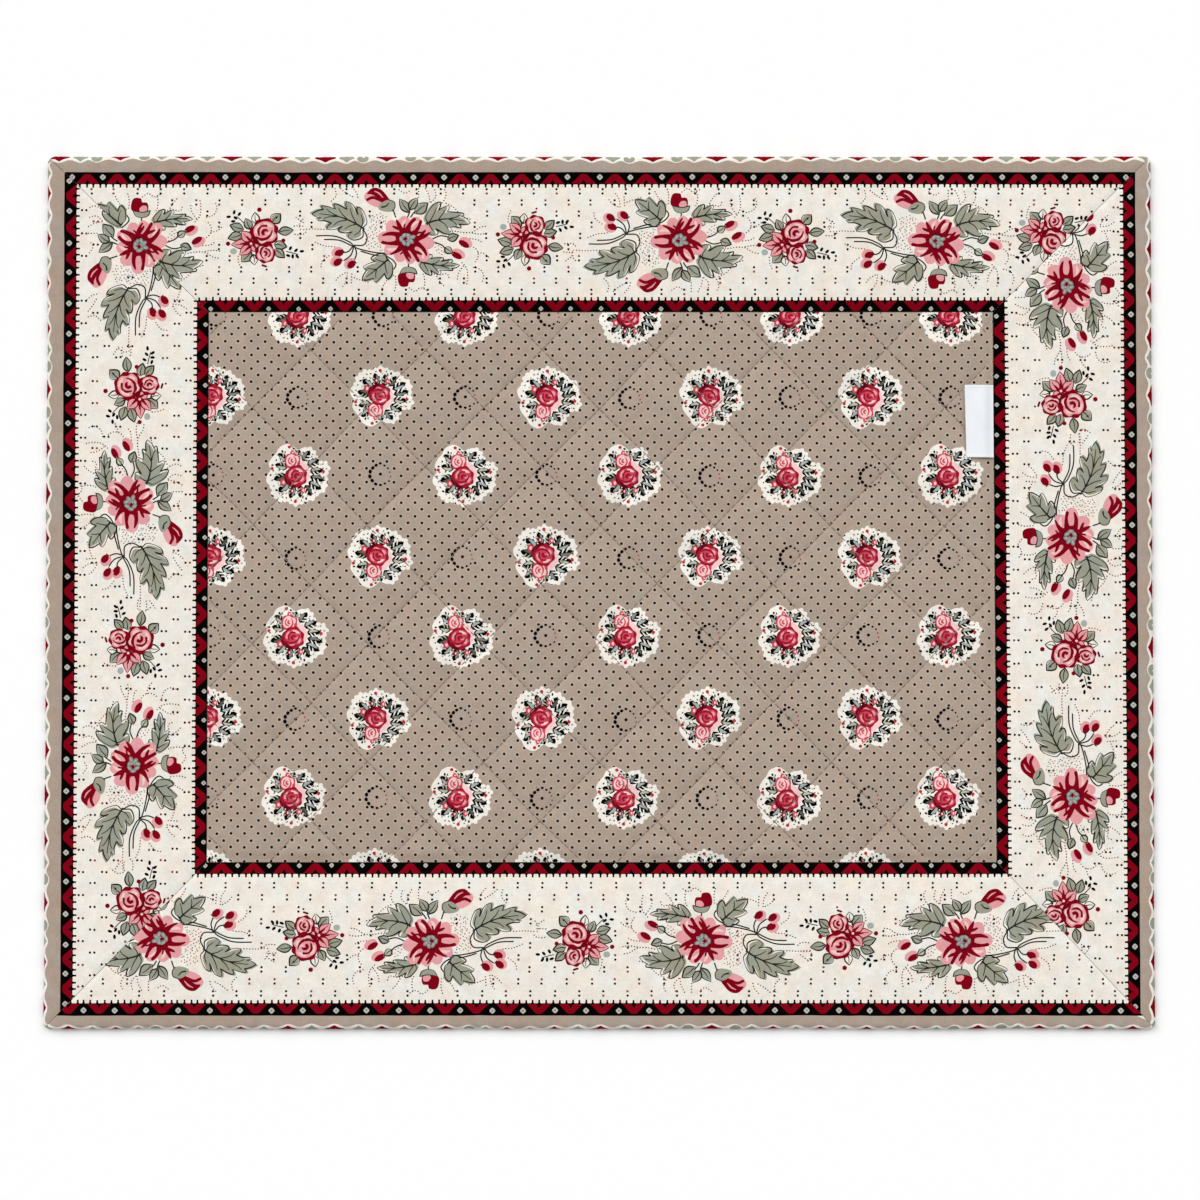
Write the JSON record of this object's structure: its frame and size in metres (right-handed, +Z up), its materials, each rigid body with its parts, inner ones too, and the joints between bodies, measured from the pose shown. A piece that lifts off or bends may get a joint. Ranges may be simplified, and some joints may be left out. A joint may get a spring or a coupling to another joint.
{
  "type": "quilted fabric placemat",
  "caption": "Flat quilted cloth placemat: a diagonal-quilted panel framed by mitred printed strips with a softly rolled outer edge.",
  "frame": {"origin": "on the surface the mat rests on, under the middle of its outline", "axes": "+X along the mat's width, +Y along its depth away from the diner, +Z up"},
  "size_m": [0.482, 0.38, 0.0048],
  "materials": {
    "panel_cloth": "printed cotton, matt",
    "border_cloth": "printed cotton, matt",
    "tab_tape": "woven polyester tape, satin"
  },
  "bodies": {
    "root": {"centre_panel": "panel_cloth", "border_top": "border_cloth", "border_bottom": "border_cloth", "border_left": "border_cloth", "border_right": "border_cloth", "side_tab": "tab_tape"}
  },
  "joints": []
}
